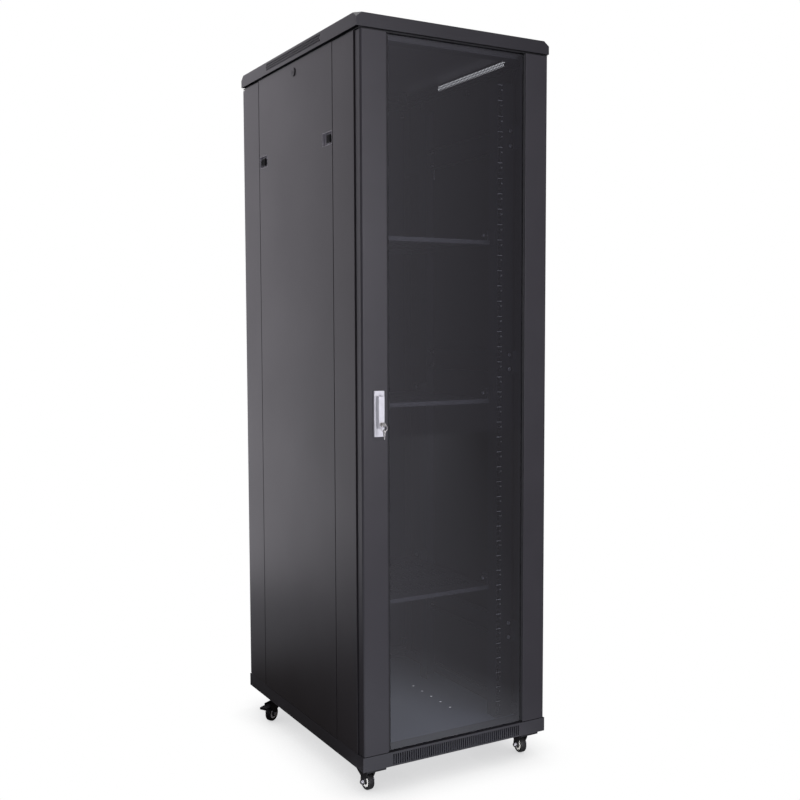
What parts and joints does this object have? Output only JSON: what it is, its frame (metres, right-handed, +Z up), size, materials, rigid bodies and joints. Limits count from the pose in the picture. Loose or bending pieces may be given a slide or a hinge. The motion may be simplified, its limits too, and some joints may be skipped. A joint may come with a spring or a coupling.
{
  "type": "network server rack cabinet",
  "caption": "Tall black network rack cabinet with a glass front door, lift-off side panels, rack rails, shelves and casters.",
  "frame": {"origin": "on the floor, under the middle of the base frame", "axes": "+Z up, -Y out of the front glass door, +X to the right seen from the front"},
  "size_m": [0.6512, 0.8535, 2.053],
  "materials": {
    "powder_coat": "black powder coat with a fine leather-grain texture",
    "rail_coat": "smooth black powder coat",
    "shelf_coat": "black powder coat",
    "smoked_glass": "smoked toughened glass, polished",
    "seal_rubber": "extruded black rubber",
    "zinc_steel": "bright zinc plate",
    "satin_chrome": "satin chrome",
    "nickel": "nickel plate",
    "black_plastic": "moulded black nylon",
    "wheel_rubber": "moulded black wheel",
    "caster_steel": "black electro-coated pressing",
    "pedal_steel": "black electro-coated pressing"
  },
  "bodies": {
    "cabinet": {"base_frame": "powder_coat", "bottom_shelf": "shelf_coat", "caster_brackets": "caster_steel", "corner_plates": "powder_coat", "depth_braces": "rail_coat", "floor_panel": "shelf_coat", "front_hinge_pins": "zinc_steel", "front_left_post": "powder_coat", "front_left_rail": "rail_coat", "front_right_post": "powder_coat", "front_right_rail": "rail_coat", "m6_screws": "zinc_steel", "middle_shelf": "shelf_coat", "rear_hinge_pins": "zinc_steel", "rear_left_post": "powder_coat", "rear_left_rail": "rail_coat", "rear_right_post": "powder_coat", "rear_right_rail": "rail_coat", "roof_cover": "powder_coat", "shelf_brackets": "rail_coat", "top_frame": "powder_coat", "top_shelf": "shelf_coat"},
    "front_door": {"door_left_stile": "powder_coat", "door_right_stile": "powder_coat", "door_glass": "smoked_glass", "glass_seals": "seal_rubber", "handle_plate": "satin_chrome"},
    "handle": {"handle_spindle": "zinc_steel", "latch_cam": "zinc_steel"},
    "lever": {"handle_lever": "satin_chrome"},
    "lock": {"lock_barrel": "nickel", "door_key": "nickel"},
    "key_bunch": {"key_ring": "nickel", "spare_key": "nickel"},
    "rear_door": {"rear_door": "powder_coat"},
    "rear_lock": {"rear_lock": "black_plastic"},
    "left_side_panel": {"left_side_panel": "powder_coat", "left_latch_housings": "black_plastic"},
    "left_front_latch": {"left_front_latch": "black_plastic"},
    "left_rear_latch": {"left_rear_latch": "black_plastic"},
    "left_panel_lock": {"left_panel_lock": "black_plastic"},
    "right_side_panel": {"right_side_panel": "powder_coat", "right_latch_housings": "black_plastic"},
    "right_front_latch": {"right_front_latch": "black_plastic"},
    "right_rear_latch": {"right_rear_latch": "black_plastic"},
    "right_panel_lock": {"right_panel_lock": "black_plastic"},
    "front_left_caster": {"front_left_caster_fork": "caster_steel", "front_left_caster_axle": "zinc_steel"},
    "front_left_wheel": {"front_left_caster_wheel": "wheel_rubber"},
    "front_right_caster": {"front_right_caster_fork": "caster_steel", "front_right_caster_axle": "zinc_steel"},
    "front_right_wheel": {"front_right_caster_wheel": "wheel_rubber"},
    "rear_left_caster": {"rear_left_caster_fork": "caster_steel", "rear_left_caster_axle": "zinc_steel"},
    "rear_left_wheel": {"rear_left_caster_wheel": "wheel_rubber"},
    "rear_left_brake": {"rear_left_brake_pedal": "pedal_steel"},
    "rear_right_caster": {"rear_right_caster_fork": "caster_steel", "rear_right_caster_axle": "zinc_steel"},
    "rear_right_wheel": {"rear_right_caster_wheel": "wheel_rubber"},
    "rear_right_brake": {"rear_right_brake_pedal": "pedal_steel"}
  },
  "joints": [
    {"name": "front_door_hinge", "type": "hinge", "parent": "cabinet", "child": "front_door", "pos_m": [0.289, -0.381, 1.064], "axis": [0, 0, 1], "range_deg": [0, 110]},
    {"name": "handle_turn", "type": "hinge", "parent": "front_door", "child": "handle", "pos_m": [-0.2495, -0.39, 1.074], "axis": [0, -1, 0], "range_deg": [0, 90]},
    {"name": "lever_lift", "type": "hinge", "parent": "handle", "child": "lever", "pos_m": [-0.2495, -0.411, 1.074], "axis": [-1, 0, 0], "range_deg": [0, 35]},
    {"name": "lock_turn", "type": "hinge", "parent": "lever", "child": "lock", "pos_m": [-0.2495, -0.415, 1.004], "axis": [0, -1, 0], "range_deg": [0, 90]},
    {"name": "key_bunch_swing", "type": "hinge", "parent": "lock", "child": "key_bunch", "pos_m": [-0.2495, -0.431, 1.004], "axis": [0, 1, 0], "range_deg": [-45, 45]},
    {"name": "rear_door_hinge", "type": "hinge", "parent": "cabinet", "child": "rear_door", "pos_m": [0.289, 0.389, 1.064], "axis": [0, 0, -1], "range_deg": [0, 120]},
    {"name": "rear_lock_turn", "type": "hinge", "parent": "rear_door", "child": "rear_lock", "pos_m": [-0.262, 0.39, 1.074], "axis": [0, 1, 0], "range_deg": [0, 90]},
    {"name": "left_panel_lift_off", "type": "slide", "parent": "cabinet", "child": "left_side_panel", "axis": [-1, 0, 0], "range_m": [0, 0.4]},
    {"name": "left_front_latch_slide", "type": "slide", "parent": "left_side_panel", "child": "left_front_latch", "axis": [0, 1, 0], "range_m": [0, 0.012], "stiffness_N_per_m": 250, "springref_m": -0.006},
    {"name": "left_rear_latch_slide", "type": "slide", "parent": "left_side_panel", "child": "left_rear_latch", "axis": [0, -1, 0], "range_m": [0, 0.012], "stiffness_N_per_m": 250, "springref_m": -0.006},
    {"name": "left_panel_lock_turn", "type": "hinge", "parent": "left_side_panel", "child": "left_panel_lock", "pos_m": [-0.295, 0.004, 1.986], "axis": [1, 0, 0], "range_deg": [0, 90]},
    {"name": "right_panel_lift_off", "type": "slide", "parent": "cabinet", "child": "right_side_panel", "axis": [1, 0, 0], "range_m": [0, 0.4]},
    {"name": "right_front_latch_slide", "type": "slide", "parent": "right_side_panel", "child": "right_front_latch", "axis": [0, 1, 0], "range_m": [0, 0.012], "stiffness_N_per_m": 250, "springref_m": -0.006},
    {"name": "right_rear_latch_slide", "type": "slide", "parent": "right_side_panel", "child": "right_rear_latch", "axis": [0, -1, 0], "range_m": [0, 0.012], "stiffness_N_per_m": 250, "springref_m": -0.006},
    {"name": "right_panel_lock_turn", "type": "hinge", "parent": "right_side_panel", "child": "right_panel_lock", "pos_m": [0.295, 0.004, 1.986], "axis": [1, 0, 0], "range_deg": [0, 90]},
    {"name": "front_left_swivel", "type": "hinge", "parent": "cabinet", "child": "front_left_caster", "pos_m": [-0.258, -0.316, 0.064], "axis": [0, 0, 1], "continuous": true},
    {"name": "front_left_roll", "type": "hinge", "parent": "front_left_caster", "child": "front_left_wheel", "pos_m": [-0.25626, -0.34094, 0.024], "axis": [0.9976, 0.0698, 0], "continuous": true},
    {"name": "front_right_swivel", "type": "hinge", "parent": "cabinet", "child": "front_right_caster", "pos_m": [0.258, -0.316, 0.064], "axis": [0, 0, 1], "continuous": true},
    {"name": "front_right_roll", "type": "hinge", "parent": "front_right_caster", "child": "front_right_wheel", "pos_m": [0.25626, -0.34094, 0.024], "axis": [0.9976, -0.0698, 0], "continuous": true},
    {"name": "rear_left_swivel", "type": "hinge", "parent": "cabinet", "child": "rear_left_caster", "pos_m": [-0.264, 0.268, 0.064], "axis": [0, 0, 1], "continuous": true},
    {"name": "rear_left_roll", "type": "hinge", "parent": "rear_left_caster", "child": "rear_left_wheel", "pos_m": [-0.28543, 0.25512, 0.024], "axis": [0.515, -0.8572, 0], "continuous": true},
    {"name": "rear_left_brake_press", "type": "hinge", "parent": "rear_left_caster", "child": "rear_left_brake", "pos_m": [-0.29829, 0.2474, 0.0535], "axis": [0.515, -0.8572, 0], "range_deg": [0, 14]},
    {"name": "rear_right_swivel", "type": "hinge", "parent": "cabinet", "child": "rear_right_caster", "pos_m": [0.264, 0.268, 0.064], "axis": [0, 0, 1], "continuous": true},
    {"name": "rear_right_roll", "type": "hinge", "parent": "rear_right_caster", "child": "rear_right_wheel", "pos_m": [0.28073, 0.24942, 0.024], "axis": [0.7431, 0.6691, 0], "continuous": true},
    {"name": "rear_right_brake_press", "type": "hinge", "parent": "rear_right_caster", "child": "rear_right_brake", "pos_m": [0.29077, 0.23827, 0.0535], "axis": [0.7431, 0.6691, 0], "range_deg": [0, 14]}
  ]
}
